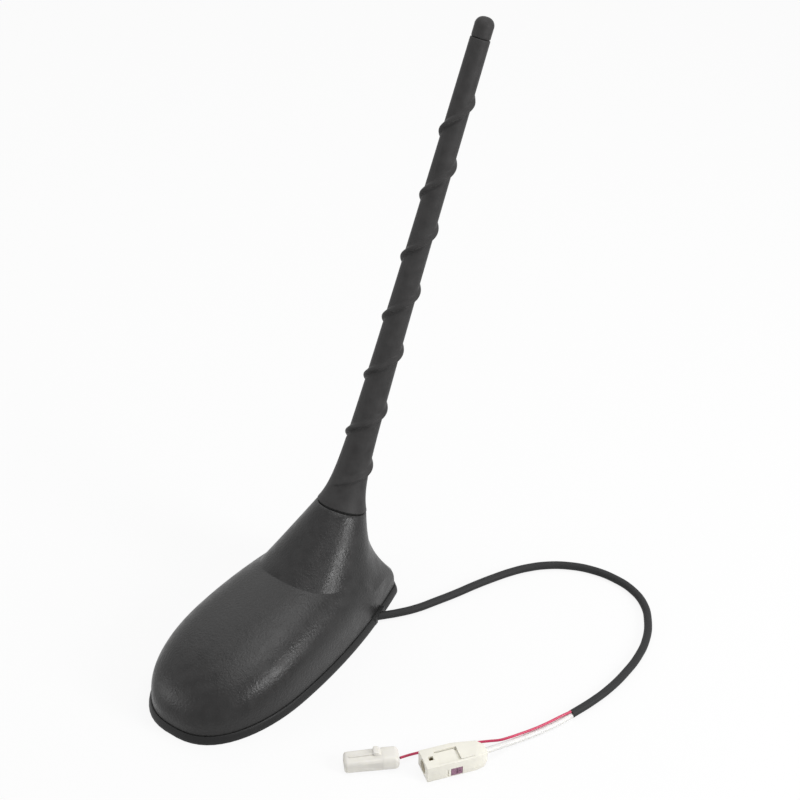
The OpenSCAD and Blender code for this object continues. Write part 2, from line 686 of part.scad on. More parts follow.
pin_r = 0.5;
module coax_insulator() {
    color([0.95, 0.95, 0.95]) difference() {
        conn_bore(barrel_from + 4, barrel_to - 2, shell_r - 0.55);
        conn_bore(barrel_from, barrel_to, pin_r + 0.03);
    }
}

module coax_centre_pin() {
    color([0.85, 0.7, 0.35]) conn_bore(barrel_from + 0.6, barrel_to - 1, pin_r);
}

module coax_crimp_ferrule() {
    color([0.75, 0.75, 0.75]) difference() {
        conn_bore(barrel_to, conn_len - 1, shell_r);
        conn_bore(barrel_to - over, conn_len, coax_d / 2 + 0.05);
    }
}

// Power plug: local x runs from its mouth to its rear
plug_at = [-40.9, -74.2];
plug_heading = -45;
plug_rear_len = 8;
plug_rear_h = 5.9;
plug_rear_w = plug_w + 0.6;
terminal_z = 2.7;
mouth_w = 5.6;
mouth_h = 3.2;
mouth_depth = 13;
module plug_frame() {
    translate([plug_at[0], plug_at[1], 0]) rotate([0, 0, plug_heading]) children();
}

function chamfered(w, h, c) = [[-w / 2 + c, 0], [w / 2 - c, 0], [w / 2, c], [w / 2, h - c],
    [w / 2 - c, h], [-w / 2 + c, h], [-w / 2, h - c], [-w / 2, c]];
module plug_bar(x0, x1, w, h, c) {
    translate([x0, 0, 0]) rotate([90, 0, 90]) linear_extrude(x1 - x0) polygon(chamfered(w, h, c));
}

module power_plug_housing() {
    color([0.9, 0.9, 0.88]) plug_frame() difference() {
        union() {
            plug_bar(0, plug_len - plug_rear_len, plug_w, plug_h, 0.9);
            plug_bar(plug_len - plug_rear_len, plug_len, plug_rear_w, plug_rear_h, 1.1);
            translate([0.8, -0.5, plug_h - eps]) cube([plug_len - plug_rear_len - 0.8, 1, 0.45]);
            translate([plug_len - plug_rear_len - 1.2, -1, plug_h - eps]) cube([2.6, 4.4, 1.3]);
        }
        translate([-over, -mouth_w / 2, terminal_z - mouth_h / 2]) cube([mouth_depth + over, mouth_w, mouth_h]);
        translate([0, 0, terminal_z]) rotate([0, 90, 0]) cylinder(h = plug_len + over, r = 1.1, $fn = fine);
    }
}

terminal_t = 0.5;
terminal_len = 9.8;
module power_plug_terminal() {
    color([0.8, 0.68, 0.35]) plug_frame() translate([3, 0, terminal_z - mouth_h / 2]) difference() {
        translate([0, -mouth_w / 2 + 0.3, 0]) cube([terminal_len, mouth_w - 0.6, mouth_h - 0.3]);
        translate([-over, -mouth_w / 2 + 0.3 + terminal_t, terminal_t])
            cube([terminal_len, mouth_w - 0.6 - 2 * terminal_t, mouth_h - 0.3 - 2 * terminal_t]);
    }
}

housing();
base_seal();
base_plate();
cover_screws();
circuit_board();
board_screws();
screening_can();
signal_filter();
board_capacitors();
mast_socket();
socket_contact();
seam_ring();
mast_stud();
mast_core();
mast_winding();
mast_sleeve();
mast_tip_cap();
cable_grommet();
cable_sleeve();
coax_lead();
power_lead();
coax_connector_housing();
coax_contact_barrel();
coax_insulator();
coax_centre_pin();
coax_crimp_ferrule();
contact_lock();
power_plug_housing();
power_plug_terminal();
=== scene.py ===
import math

import bmesh
import bpy
from mathutils import Matrix, Vector


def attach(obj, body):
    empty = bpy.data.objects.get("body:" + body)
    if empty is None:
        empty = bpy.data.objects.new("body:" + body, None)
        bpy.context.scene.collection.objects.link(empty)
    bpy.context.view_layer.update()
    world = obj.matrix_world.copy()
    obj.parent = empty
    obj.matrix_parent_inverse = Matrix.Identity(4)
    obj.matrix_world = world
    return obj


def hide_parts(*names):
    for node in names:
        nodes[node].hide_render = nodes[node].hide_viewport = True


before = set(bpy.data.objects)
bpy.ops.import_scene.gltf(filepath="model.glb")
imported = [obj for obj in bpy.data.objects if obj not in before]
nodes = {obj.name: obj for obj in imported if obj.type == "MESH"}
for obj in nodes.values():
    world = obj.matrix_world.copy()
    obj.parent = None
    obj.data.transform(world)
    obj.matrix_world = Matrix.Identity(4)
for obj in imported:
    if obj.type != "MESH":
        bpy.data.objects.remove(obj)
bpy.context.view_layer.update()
MM = 0.001
rake = math.radians(26.8)
mast_dir = Vector((math.sin(rake), 0, math.cos(rake)))

# ---------------------------------------------------------------- camera and light
azimuth, elevation = math.radians(-51.85), math.radians(36.97)
camera_data = bpy.data.cameras.new("view_camera")
camera_data.lens = 106.2
camera_data.clip_start, camera_data.clip_end = 0.05, 20
camera = bpy.data.objects.new("view_camera", camera_data)
camera.location = (-0.6011, -0.5438, 0.7514)
camera.rotation_euler = (math.pi / 2 - elevation, 0, azimuth)
bpy.context.collection.objects.link(camera)
bpy.context.scene.camera = camera
bpy.context.scene.view_settings.view_transform = "Standard"


def only(obj):
    """Deselect everything else and make this the active object."""
    bpy.ops.object.select_all(action="DESELECT")
    obj.select_set(True)
    bpy.context.view_layer.objects.active = obj


def soft_box(name, place, aim, size, watts):
    """A square-cornered studio lamp at a place, turned to its aim."""
    bpy.ops.object.light_add(type="AREA", location=place)
    lamp = bpy.context.object
    lamp.name = name
    lamp.data.shape = "RECTANGLE"
    lamp.data.size, lamp.data.size_y = size
    lamp.data.energy = watts
    lamp.rotation_euler = (Vector(aim) - Vector(place)).to_track_quat("-Z", "Y").to_euler()
    return lamp


soft_box("top_soft_box", (0.28, -0.1, 1.1), (0.02, 0, 0), (0.7, 0.7), 5.0)
soft_box("right_soft_box", (0.19, -0.9, 0.45), (0.02, -0.01, 0.04), (0.28, 0.4), 5.4)
soft_box("left_soft_box", (-0.75, 0.75, 0.35), (0.0, 0, 0.1), (0.5, 0.5), 2.4)
soft_box("back_soft_box", (0.45, 0.85, 1.0), (0.0, 0, 0.02), (0.7, 0.6), 1.6)


def looked_at(tree):
    """One for a ray that the camera sends, straight on or by way of a gloss or a clear thing, else nothing."""
    rays = tree.nodes.new("ShaderNodeLightPath")
    straight_or_gloss = tree.nodes.new("ShaderNodeMath")
    straight_or_gloss.operation = "MAXIMUM"
    any_look = tree.nodes.new("ShaderNodeMath")
    any_look.operation = "MAXIMUM"
    tree.links.new(rays.outputs["Is Camera Ray"], straight_or_gloss.inputs[0])
    tree.links.new(rays.outputs["Is Glossy Ray"], straight_or_gloss.inputs[1])
    tree.links.new(straight_or_gloss.outputs[0], any_look.inputs[0])
    tree.links.new(rays.outputs["Is Transmission Ray"], any_look.inputs[1])
    return any_look.outputs[0]


backdrop_seen, backdrop_light = 1.0, 0.4
world = bpy.data.worlds.new("studio")
bpy.context.scene.world = world
world.use_nodes = True
tree = world.node_tree
tree.nodes.clear()
out = tree.nodes.new("ShaderNodeOutputWorld")
mix = tree.nodes.new("ShaderNodeMixShader")
seen = tree.nodes.new("ShaderNodeBackground")
lit = tree.nodes.new("ShaderNodeBackground")
seen.inputs["Color"].default_value = (1, 1, 1, 1)
seen.inputs["Strength"].default_value = backdrop_seen
lit.inputs["Color"].default_value = (1, 1, 1, 1)
lit.inputs["Strength"].default_value = backdrop_light
tree.links.new(looked_at(tree), mix.inputs[0])
tree.links.new(lit.outputs[0], mix.inputs[1])
tree.links.new(seen.outputs[0], mix.inputs[2])
tree.links.new(mix.outputs[0], out.inputs[0])


# ---------------------------------------------------------------- finishes
def finish_of(name, colour, rough, grain=0.0, grain_size=0.4, mottle=0.06, mottle_size=6.0,
              metal=0.0, coat=0.0, specular=0.5, milky=0.0, wear=0.05, depth=0.1):
    """A moulded, turned or rolled finish: its colour varies softly, and its grain is a fine bump."""
    made = bpy.data.materials.new(name)
    made.use_nodes = True
    net = made.node_tree
    shader = net.nodes["Principled BSDF"]
    shader.inputs["Metallic"].default_value = metal
    shader.inputs["Specular IOR Level"].default_value = specular
    shader.inputs["Coat Weight"].default_value = coat
    shader.inputs["Subsurface Weight"].default_value = milky
    shader.inputs["Subsurface Radius"].default_value = (0.003, 0.003, 0.0025)
    where = net.nodes.new("ShaderNodeTexCoord")
    cloud = net.nodes.new("ShaderNodeTexNoise")
    cloud.inputs["Scale"].default_value = 1000 / mottle_size
    cloud.inputs["Detail"].default_value = 4
    net.links.new(where.outputs["Object"], cloud.inputs["Vector"])
    ramp = net.nodes.new("ShaderNodeValToRGB")
    ramp.color_ramp.elements[0].position = 0.3
    ramp.color_ramp.elements[1].position = 0.7
    ramp.color_ramp.elements[0].color = [c * (1 - mottle) for c in colour] + [1]
    ramp.color_ramp.elements[1].color = [min(1, c * (1 + mottle)) for c in colour] + [1]
    net.links.new(cloud.outputs["Fac"], ramp.inputs["Fac"])
    net.links.new(ramp.outputs["Color"], shader.inputs["Base Color"])
    worn = net.nodes.new("ShaderNodeMapRange")
    worn.inputs["From Min"].default_value = 0.3
    worn.inputs["From Max"].default_value = 0.7
    worn.inputs["To Min"].default_value = max(0.02, rough - wear)
    worn.inputs["To Max"].default_value = min(1.0, rough + wear)
    net.links.new(cloud.outputs["Fac"], worn.inputs["Value"])
    net.links.new(worn.outputs["Result"], shader.inputs["Roughness"])
    if grain:
        pits = net.nodes.new("ShaderNodeTexNoise")
        pits.inputs["Scale"].default_value = 1000 / grain_size
        pits.inputs["Detail"].default_value = 3
        pits.inputs["Roughness"].default_value = 0.6
        net.links.new(where.outputs["Object"], pits.inputs["Vector"])
        bump = net.nodes.new("ShaderNodeBump")
        bump.inputs["Strength"].default_value = grain
        bump.inputs["Distance"].default_value = depth * MM
        net.links.new(pits.outputs["Fac"], bump.inputs["Height"])
        net.links.new(bump.outputs["Normal"], shader.inputs["Normal"])
    return made


sparked_black = finish_of("sparked_black_plastic", (0.013, 0.0126, 0.0126), 0.36, grain=1.0, grain_size=1.2,
                          mottle=0.3, specular=0.33, wear=0.08, depth=0.22)
seal_black = finish_of("seal_rubber", (0.012, 0.012, 0.0122), 0.5, grain=0.4, grain_size=0.9,
                       mottle=0.15, specular=0.24, depth=0.15)
mast_black = finish_of("mast_rubber", (0.04, 0.039, 0.039), 0.5, grain=0.4, grain_size=0.7,
                       mottle=0.16, mottle_size=5, specular=0.12)
sleeve_black = finish_of("sleeve_vinyl", (0.028, 0.0283, 0.029), 0.55, grain=0.3, grain_size=0.8,
                         mottle=0.12, specular=0.15)
seam_black = finish_of("seam_rubber", (0.006, 0.006, 0.006), 0.8, grain=0.2, mottle=0.1)
white_jacket = finish_of("white_coaxial_jacket", (0.72, 0.715, 0.7), 0.36, grain=0.1, mottle=0.03, milky=0.15)
red_jacket = finish_of("red_lead_jacket", (0.55, 0.03, 0.1), 0.36, grain=0.1, mottle=0.06)
cream_nylon = finish_of("cream_connector_nylon", (0.79, 0.77, 0.69), 0.46, grain=0.15, grain_size=0.5,
                        mottle=0.03, milky=0.12)
milk_nylon = finish_of("milky_plug_nylon", (0.75, 0.73, 0.68), 0.42, grain=0.12, grain_size=0.5,
                       mottle=0.03, milky=0.35)
plum_nylon = finish_of("plum_lock_nylon", (0.27, 0.13, 0.2), 0.45, grain=0.2, grain_size=0.4, mottle=0.1)
cast_alloy = finish_of("cast_alloy", (0.5, 0.5, 0.51), 0.5, grain=0.5, grain_size=0.7, mottle=0.1, metal=1.0)
turned_brass = finish_of("turned_brass", (0.72, 0.52, 0.24), 0.28, grain=0.15, mottle=0.08, metal=1.0)
plated_contact = finish_of("plated_contact", (0.83, 0.66, 0.34), 0.22, grain=0.1, mottle=0.06, metal=1.0)
tinned_sheet = finish_of("tinned_sheet", (0.68, 0.68, 0.69), 0.35, grain=0.15, mottle=0.08, metal=1.0)
zinc_steel = finish_of("zinc_plated_steel", (0.62, 0.62, 0.64), 0.32, grain=0.15, mottle=0.08, metal=1.0)
board_green = finish_of("solder_mask", (0.03, 0.2, 0.08), 0.35, grain=0.1, mottle=0.12, coat=0.3)
filter_clay = finish_of("filter_ceramic", (0.66, 0.62, 0.5), 0.6, grain=0.2, mottle=0.06)
can_sleeve = finish_of("capacitor_sleeve", (0.12, 0.14, 0.22), 0.4, grain=0.1, mottle=0.08)
fibre_rod = finish_of("glass_fibre_rod", (0.66, 0.63, 0.52), 0.5, grain=0.25, mottle=0.1)
wound_copper = finish_of("wound_copper", (0.72, 0.36, 0.19), 0.3, grain=0.4, grain_size=0.4, mottle=0.1, metal=1.0)
white_insulator = finish_of("white_insulator", (0.82, 0.82, 0.8), 0.45, grain=0.1, mottle=0.03)


def cut_thread(finish, way, pitch, depth):
    """Add the fine lines of a thread, spaced along the thread's axis."""
    net = finish.node_tree
    where = net.nodes.new("ShaderNodeTexCoord")
    along = net.nodes.new("ShaderNodeVectorMath")
    along.operation = "DOT_PRODUCT"
    along.inputs[1].default_value = way
    turn = net.nodes.new("ShaderNodeMath")
    turn.operation = "MULTIPLY"
    turn.inputs[1].default_value = 2 * math.pi / (pitch * MM)
    wave = net.nodes.new("ShaderNodeMath")
    wave.operation = "SINE"
    lines = net.nodes.new("ShaderNodeBump")
    lines.inputs["Strength"].default_value = 1.0
    lines.inputs["Distance"].default_value = depth * MM
    shader = net.nodes["Principled BSDF"]
    net.links.new(where.outputs["Object"], along.inputs[0])
    net.links.new(along.outputs["Value"], turn.inputs[0])
    net.links.new(turn.outputs[0], wave.inputs[0])
    net.links.new(wave.outputs[0], lines.inputs["Height"])
    net.links.new(shader.inputs["Normal"].links[0].from_socket, lines.inputs["Normal"])
    net.links.new(lines.outputs["Normal"], shader.inputs["Normal"])
    return finish


threaded_brass = cut_thread(finish_of("threaded_brass", (0.72, 0.52, 0.24), 0.28, grain=0.15, mottle=0.08, metal=1.0),
                            mast_dir, pitch=0.8, depth=0.2)

carried_over = {
    "base_plate": cast_alloy, "cover_screws": zinc_steel,
    "circuit_board": board_green, "board_screws": zinc_steel, "screening_can": tinned_sheet,
    "signal_filter": filter_clay, "board_capacitors": can_sleeve,
    "mast_socket": turned_brass, "socket_contact": plated_contact, "seam_ring": seam_black,
    "mast_stud": threaded_brass, "mast_core": fibre_rod, "mast_winding": wound_copper,
    "coax_contact_barrel": plated_contact, "coax_insulator": white_insulator,
    "coax_centre_pin": plated_contact, "coax_crimp_ferrule": tinned_sheet,
    "power_plug_terminal": plated_contact,
}


def paint(obj, finish):
    obj.data.materials.clear()
    obj.data.materials.append(finish)


for node_name, finish in carried_over.items():
    paint(nodes[node_name], finish)


# ---------------------------------------------------------------- ways of making pieces
def smooth(obj, angle=35):
    only(obj)
    bpy.ops.object.shade_smooth_by_angle(angle=math.radians(angle))


def rolled_sheet(name, rings, close_first=True, close_last=True):
    """A grid whose rows are laid on the rings and whose long edges are joined. Rings are in millimetres."""
    bpy.ops.object.select_all(action="DESELECT")
    rows, around = len(rings), len(rings[0])
    bpy.ops.mesh.primitive_grid_add(x_subdivisions=around, y_subdivisions=rows - 1, size=1)
    obj = bpy.context.object
    obj.name = name
    obj.location = (0, 0, 0)
    for i, ring in enumerate(rings):
        for j in range(around + 1):
            obj.data.vertices[i * (around + 1) + j].co = Vector(ring[j % around]) * MM
    bpy.ops.object.mode_set(mode="EDIT")
    bpy.ops.mesh.select_all(action="SELECT")
    bpy.ops.mesh.remove_doubles(threshold=1e-6)
    bpy.ops.mesh.select_all(action="DESELECT")
    if close_first or close_last:
        bm = bmesh.from_edit_mesh(obj.data)
        first = {tuple(round(c * 1e7) for c in Vector(p) * MM) for p in rings[0]}
        for edge in bm.edges:
            if edge.is_boundary:
                key = tuple(round(c * 1e7) for c in edge.verts[0].co)
                at = edge.verts[0].co
                near = min((at - Vector(p) * MM).length for p in rings[0][:: max(1, around // 24)])
                far = (at - Vector(rings[-1][0]) * MM).length
                at_first = key in first or near < far and near < 0.6 * MM
                edge.select = close_first if at_first else close_last
        bmesh.update_edit_mesh(obj.data)
        bpy.ops.mesh.edge_face_add()
    bpy.ops.mesh.select_all(action="SELECT")
    bpy.ops.mesh.normals_make_consistent(inside=False)
    bpy.ops.object.mode_set(mode="OBJECT")
    return obj


def soften(obj, width, segments, angle=30):
    """Round the edges that are sharper than the angle. The width is in millimetres."""
    round_edges = obj.modifiers.new("round_edges", "BEVEL")
    round_edges.width = width * MM
    round_edges.segments = segments
    round_edges.limit_method = "ANGLE"
    round_edges.angle_limit = math.radians(angle)
    round_edges.use_clamp_overlap = True
    only(obj)
    bpy.ops.object.modifier_apply(modifier="round_edges")


def eased(node_name, piece_name, width, segments, angle=28):
    """A copy of a node with its sharp edges rounded, as a moulding has."""
    obj = bpy.data.objects.new(piece_name, nodes[node_name].data.copy())
    bpy.context.collection.objects.link(obj)
    only(obj)
    bpy.ops.object.mode_set(mode="EDIT")
    bpy.ops.mesh.select_all(action="SELECT")
    bpy.ops.mesh.remove_doubles(threshold=2e-6)
    bpy.ops.mesh.dissolve_limited(angle_limit=math.radians(0.6))
    bpy.ops.object.mode_set(mode="OBJECT")
    soften(obj, width, segments, angle)
    smooth(obj, 40)
    return obj


def stand_for(obj, finish, body, slot, *replaced):
    """Paint a finished piece and let it ride on its body in place of its CAD nodes."""
    paint(obj, finish)
    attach(obj, body)
    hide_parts(*replaced)
    return obj


# ---------------------------------------------------------------- cords
sleeve_route = [(41, -24.08), (43.4, -25.88), (50, -31), (58, -36), (68, -40.3), (78, -44.3), (88, -47.8),
                (98, -51.8), (107, -56), (114, -60.3), (121, -66.3), (127.5, -75), (132, -86), (133.4, -98),
                (131.8, -109), (126.8, -118.8), (118, -127), (107, -133.2), (95, -136.7), (83, -138.1),
                (70, -138.2), (57.5, -136.7), (45, -134)]
coax_route = [(45, -134.2, 1.4), (38.6, -132.6, 1.4), (33, -130.8, 1.4), (28, -128.9, 1.4),
              (23, -126.8, 1.4), (18, -124.6, 1.5), (12, -122.3, 2.2), (6, -120.6, 3.6), (0.9, -118.5, 4.1)]
power_route = [(45, -133.7, 3.4), (40, -132, 3.5), (34, -130.1, 3.5), (29, -128.3, 3.5),
               (24, -126.2, 3.5), (19.3, -124, 3.6), (15, -121.8, 3.6), (11.2, -119, 3.1), (8.8, -115.6, 2.3),
               (6.4, -112.2, 1.5), (4, -109.4, 0.9), (0, -106, 0.7), (-4, -102.8, 0.7), (-9, -98.9, 0.7),
               (-14.7, -94.7, 0.9), (-19.5, -92.5, 1.8), (-24.3, -90.8, 2.7)]
sleeve_d, coax_d, power_d = 3.8, 2.8, 1.2


def lead(name, route, diameter, finish):
    """A round lead along its route, one open spline."""
    line = bpy.data.curves.new(name, "CURVE")
    line.dimensions = "3D"
    line.resolution_u = 8
    line.bevel_depth = diameter / 2 * MM
    line.bevel_resolution = 6
    line.use_fill_caps = True
    spline = line.splines.new("BEZIER")
    spline.bezier_points.add(len(route) - 1)
    for knot, place in zip(spline.bezier_points, route):
        knot.co = Vector(place) * MM
        knot.handle_left_type = knot.handle_right_type = "AUTO"
    obj = bpy.data.objects.new(name, line)
    bpy.context.collection.objects.link(obj)
    line.materials.append(finish)
    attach(obj, "base")
    return obj


sleeve_line = [(x, y, sleeve_d / 2) for x, y in sleeve_route]
sleeve = lead("black_sleeve", sleeve_line, sleeve_d, sleeve_black)
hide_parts("cable_sleeve")
coax = lead("white_coax", coax_route, coax_d, white_jacket)
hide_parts("coax_lead")
power = lead("red_lead", power_route, power_d, red_jacket)
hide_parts("power_lead")


# ---------------------------------------------------------------- base outline, as the plan of the seal
base_nose, base_tail, base_half_w, wide_station = 74.2, 71.4, 33.5, 23.0
nose_power, side_r, tail_r, corner_r = 2.58, 293.0, 30.0, 5.0
sheet_t, skirt_in, skirt_top = 1.5, 1.5, 4.6
side_cy = base_half_w - side_r
tail_cx = base_tail - tail_r
centre_dx = tail_cx + wide_station
centre_dist = math.hypot(centre_dx, side_cy)
centre_a = ((side_r - corner_r) ** 2 - (tail_r - corner_r) ** 2 + centre_dist ** 2) / (2 * centre_dist)
centre_h = math.sqrt((side_r - corner_r) ** 2 - centre_a ** 2)
corner_x = -wide_station + (centre_a * centre_dx - centre_h * side_cy) / centre_dist
corner_y = side_cy - (centre_a * side_cy + centre_h * centre_dx) / centre_dist
side_end_a = math.atan2(corner_y - side_cy, corner_x + wide_station)
tail_start_a = math.atan2(corner_y, corner_x - tail_cx)


def half_width(x, inset):
    """Half the plan's width at x, on the line that lies the inset inside the outline."""
    if x <= -wide_station:
        share = min(1, (-wide_station - x) / (base_nose - wide_station - inset))
        return (base_half_w - inset) * (1 - share ** 2) ** (1 / nose_power)
    if x <= corner_x + (corner_r - inset) * math.cos(side_end_a):
        return side_cy + math.sqrt((side_r - inset) ** 2 - (x + wide_station) ** 2)
    if x <= corner_x + (corner_r - inset) * math.cos(tail_start_a):
        return corner_y + math.sqrt(max(0, (corner_r - inset) ** 2 - (x - corner_x) ** 2))
    return math.sqrt(max(0, (tail_r - inset) ** 2 - (x - tail_cx) ** 2))


def inset_of(x, y):
    """How far inside the seal's outline a point lies."""
    low, high = -0.5, 8.0
    for _ in range(24):
        middle = (low + high) / 2
        low, high = (middle, high) if half_width(x, middle) > abs(y) else (low, middle)
    return low


def inward_way(x, y):
    """The direction in plan that leads straight inwards from the nearest side."""
    step = 0.1
    way = Vector((inset_of(x + step, y) - inset_of(x - step, y), inset_of(x, y + step) - inset_of(x, y - step), 0))
    return way.normalized() if way.length > 0 else way


def outline(inset, n):
    """Points round the plan, counter-clockwise seen from above, from the nose's near side."""
    corner_steps, tail_steps = 7, 10
    nose_len, corner_in = base_nose - wide_station - inset, corner_r - inset
    side_end = corner_x + corner_in * math.cos(side_end_a)
    corner_turn = tail_start_a - side_end_a
    xs = [-wide_station - nose_len * math.cos(math.radians(2 + 88 * i / n)) for i in range(n + 1)]
    xs += [-wide_station + (side_end + wide_station) * i / n for i in range(1, n + 1)]
    corner_angles = [side_end_a + corner_turn * i / corner_steps for i in range(1, corner_steps + 1)]
    tail_angles = [tail_start_a * (1 - i / (tail_steps + 0.4)) for i in range(1, tail_steps + 1)]
    xs += [corner_x + corner_in * math.cos(a) for a in corner_angles]
    xs += [tail_cx + (tail_r - inset) * math.cos(a) for a in tail_angles]
    near = [(x, -half_width(x, inset)) for x in xs]
    return near + [(x, -y) for x, y in reversed(near)]


# ---------------------------------------------------------------- housing
dome_h, crown_x = 34.0, 24.0
crown_nose_power, crown_nose_root, crown_tail_power = 1.6, 2.8, 2.71
section_power_y, section_power_z = 2.25, 3.9
front_slope, front_curve, rear_slope, rear_curve = 0.521, 0.0021, 0.18, 0.0108
side_slope, rear_share, pylon_square = 0.3067, 0.6656, 0.0152
socket_r, socket_depth = 6.02, 10.9
seam = Vector((47.2, 0, 53.5))
seam_r = 12.0
front_dir = Vector((-math.cos(rake), 0, math.sin(rake)))


def crown_rise(x):
    """Height of the dome's middle line above the skirt at x."""
    if x < crown_x:
        share = min(1, (crown_x - x) / (crown_x + base_nose - skirt_in))
        return dome_h * (1 - share ** crown_nose_power) ** (1 / crown_nose_root)
    share = min(1, (x - crown_x) / (base_tail - skirt_in - crown_x))
    return dome_h * (1 - share ** crown_tail_power)


def dome_z(x, y):
    across = min(1, abs(y) / max(0.1, half_width(x, skirt_in)))
    return skirt_top + crown_rise(x) * (1 - across ** section_power_y) ** (1 / section_power_z)


def signed_pow(v, p):
    return math.copysign(abs(v) ** p, v)


def pylon_point(s, a):
    """A point on the pylon's skin, s below the seam along its front and at angle a round it from the front."""
    q = rear_share * s
    front = seam - s * mast_dir + (seam_r + front_slope * s + front_curve * s * s) * front_dir
    rear = seam - q * mast_dir - (seam_r + rear_slope * q + rear_curve * q * q) * front_dir
    half, power = seam_r + side_slope * s, 2 / (2 + pylon_square * s)
    across = Vector((0, half * signed_pow(math.sin(a), power), 0))
    return (front + rear) / 2 + (front - rear) / 2 * signed_pow(math.cos(a), power) + across


def root_depth(a):
    """How far below the seam the pylon meets the dome at angle a."""
    low, high = 0.0, 52.0
    for _ in range(30):
        middle = (low + high) / 2
        p = pylon_point(middle, a)
        low, high = (middle, high) if p.z > dome_z(p.x, p.y) else (low, middle)
    return low


root_centre = seam.x - 18


def around_angle(p):
    reach = root_centre + base_nose if p[0] < root_centre else base_tail - root_centre
    return math.atan2(p[1] / base_half_w, (root_centre - p[0]) / reach)


def tail_share(a):
    """Share of the tail's wide fillet at angle a, nothing in front and at the sides."""
    back = max(0, -math.cos(a))
    return back * min(1, back / 0.45)


def housing_rings():
    """Rings from the socket's hole over the seam, down the pylon, through the fillet and over the dome to the rim."""
    rim = list(reversed(outline(skirt_in, 26)))
    angles = [around_angle(p) for p in rim]
    depths = [root_depth(a) for a in angles]
    roots = [pylon_point(d, a) for d, a in zip(depths, angles)]

    def over_dome(j, t):
        x = roots[j].x + (rim[j][0] - roots[j].x) * t
        y = roots[j].y + (rim[j][1] - roots[j].y) * t
        return Vector((x, y, dome_z(x, y)))

    def seam_ring_at(r, d):
        return [seam + d * mast_dir + r * math.cos(a) * front_dir + Vector((0, r * math.sin(a), 0)) for a in angles]

    rings = [seam_ring_at(socket_r, -socket_depth), seam_ring_at(socket_r, 0),
             seam_ring_at(seam_r - 0.5, 0), seam_ring_at(seam_r - 0.15, -0.12)]
    starts, ends = [], []
    for j, a in enumerate(angles):
        starts.append(depths[j] - 0.4 - 17.8 * tail_share(a))
        run = math.hypot(rim[j][0] - roots[j].x, rim[j][1] - roots[j].y)
        ends.append(min(0.9, (1.5 + 11.7 * tail_share(a)) / run))
    steps = 22
    for k in range(steps + 1):
        rings.append([pylon_point(0.5 + (s - 0.5) * k / steps, a) for s, a in zip(starts, angles)])
    fillet_steps = 9
    for k in range(1, fillet_steps):
        t = k / fillet_steps
        row = []
        for j, a in enumerate(angles):
            above, below = pylon_point(starts[j], a), over_dome(j, ends[j])
            row.append((1 - t) ** 2 * above + 2 * t * (1 - t) * roots[j] + t * t * below)
        rings.append(row)
    dome_steps = 46
    for k in range(dome_steps + 1):
        share = 1 - (1 - k / dome_steps) ** 2
        rings.append([over_dome(j, ends[j] + (1 - ends[j]) * share) for j in range(len(rim))])
    rings.append([Vector((x, y, skirt_top - 0.8)) for x, y in rim])
    rings.append([Vector((x, y, sheet_t)) for x, y in rim])
    return rings


housing = rolled_sheet("moulded_housing", housing_rings())
smooth(housing, 50)
stand_for(housing, sparked_black, "base", "housing_plastic", "housing")

# The seal's outer wall slopes in towards its lip, and its inner wall leaves a fine gap round the housing.
seal = eased("base_seal", "lipped_seal", 0.4, 3)
only(seal)
for height in (1.2, 2.0, 2.8, 3.4):
    bpy.ops.object.mode_set(mode="EDIT")
    bpy.ops.mesh.select_all(action="SELECT")
    bpy.ops.mesh.bisect(plane_co=(0, 0, height * MM), plane_no=(0, 0, 1))
    bpy.ops.object.mode_set(mode="OBJECT")
for v in seal.data.vertices:
    x, y, z = v.co / MM
    inset = inset_of(x, y)
    if z > 0.6 and inset < 0.75:
        inward = 0.95 * min(1, (z - 0.6) / 3.7) ** 1.8
    elif z > 1.9 and inset < 1.6:
        inward = 0.3
    else:
        continue
    v.co += inward * inward_way(x, y) * MM
smooth(seal, 50)
stand_for(seal, seal_black, "base", "seal_rubber", "base_seal")

grommet = eased("cable_grommet", "cable_boot", 0.12, 2)
stand_for(grommet, seal_black, "base", "seal_rubber", "cable_grommet")


# ---------------------------------------------------------------- mast
mast_len, cap_len, tip_r, ring_t = 234.5, 9.8, 4.55, 0.8
ridge_h, ridge_start, ridge_growth, ridge_turns, ridge_first, ridge_phase = 1.4, 21.7, 0.48, 6.6, -0.42, -59.0
ridge_above, ridge_below, groove_depth, groove_half, groove_mid = 2.7, 1.5, 0.3, 1.2, 2.1
flare_depth, flare_len, taper_depth, taper_len = 4.05, 9, 2.6, 70
ring_step, plain_from, plain_step = 0.32, 212, 1.2
rod_bore, stud_bore, stud_seat = 2.65, 3.62, 7.53
ridge_last = ridge_first + ridge_turns
ridge_pitch = (mast_len - cap_len - 22.7 - ridge_start - ridge_growth / 2 * ridge_last ** 2) / ridge_last


def mast_r(z):
    """Radius of the mast at height z, without its ridge."""
    return (tip_r + (seam_r - tip_r - flare_depth - taper_depth) * (1 - z / mast_len)
            + flare_depth * math.exp(-(z - ring_t) / flare_len) + taper_depth * math.exp(-z / taper_len))


def ridge_z(n):
    """Height of the ridge's crest after n turns."""
    return ridge_start + ridge_pitch * n + ridge_growth / 2 * n * n


